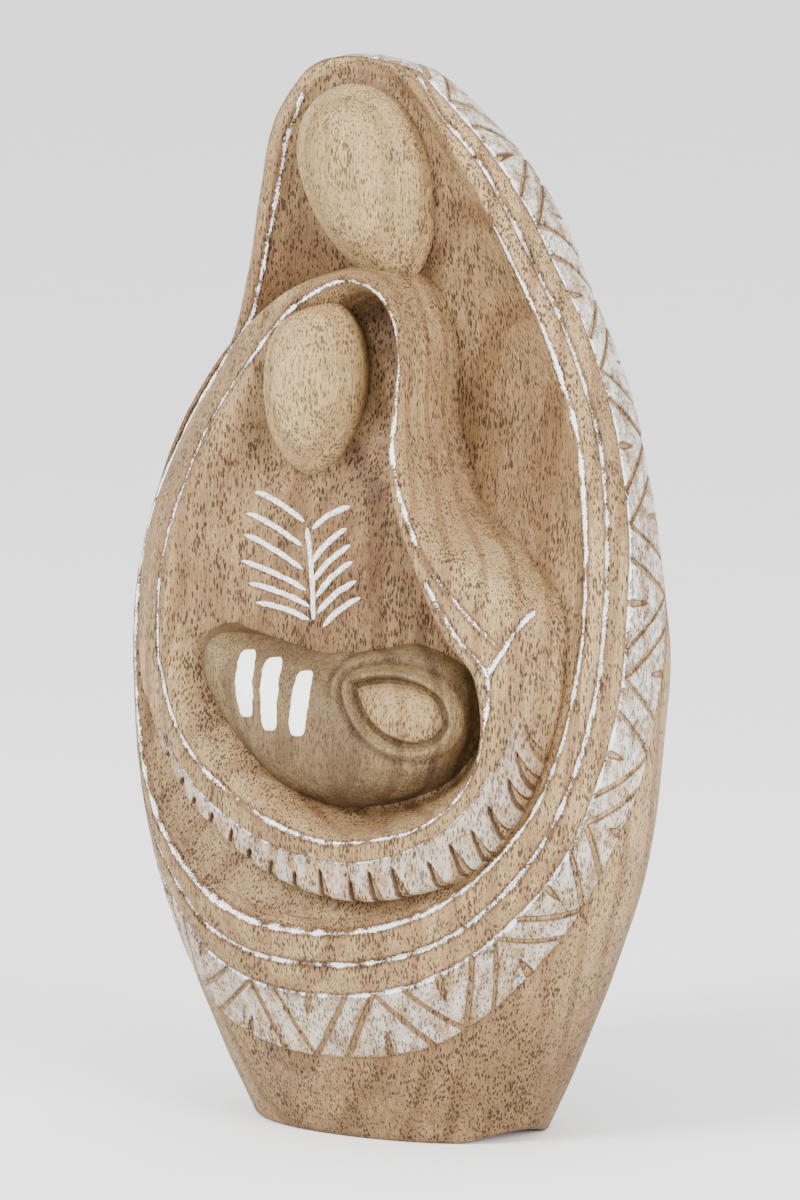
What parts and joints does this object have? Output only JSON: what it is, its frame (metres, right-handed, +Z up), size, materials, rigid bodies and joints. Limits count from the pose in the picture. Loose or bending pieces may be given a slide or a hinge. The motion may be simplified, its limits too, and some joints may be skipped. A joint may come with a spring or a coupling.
{
  "type": "carved wooden family figure",
  "caption": "Free-standing carved wooden sculpture: a tall hooded figure wraps a smaller robed figure who holds a swaddled baby; plain egg heads, limewashed carved borders.",
  "frame": {"origin": "middle of the flat foot, at the centre of the object's footprint box, on the surface it stands on", "axes": "+Z up, -Y is the carved front, +X is the side where the small figure's sleeve and the baby's face are"},
  "size_m": [0.213, 0.1253, 0.4],
  "materials": {
    "pale_wood": "sanded pale open-pored hardwood, dry or thinly waxed, brown stain left in the creases",
    "limewashed_wood": "the same wood with rubbed-back white limewash on the carved ground and bare wood in the cut grooves",
    "white_paint": "thick matt white paint laid on by brush"
  },
  "bodies": {
    "root": {"block": "pale_wood", "outer_rim": "pale_wood", "mother_mantle": "pale_wood", "father_head": "pale_wood", "mother_head": "pale_wood", "baby_bundle": "pale_wood", "baby_hood": "pale_wood", "baby_face": "pale_wood", "zigzag_band": "limewashed_wood", "fringe_band": "limewashed_wood", "paint_bar_1": "white_paint", "paint_bar_2": "white_paint", "paint_bar_3": "white_paint", "fishbone_stem": "white_paint", "fishbone_left_1": "white_paint", "fishbone_left_2": "white_paint", "fishbone_left_3": "white_paint", "fishbone_left_4": "white_paint", "fishbone_left_5": "white_paint", "fishbone_left_6": "white_paint", "fishbone_right_1": "white_paint", "fishbone_right_2": "white_paint", "fishbone_right_3": "white_paint", "fishbone_right_4": "white_paint", "fishbone_right_5": "white_paint", "fishbone_right_6": "white_paint"}
  },
  "joints": []
}
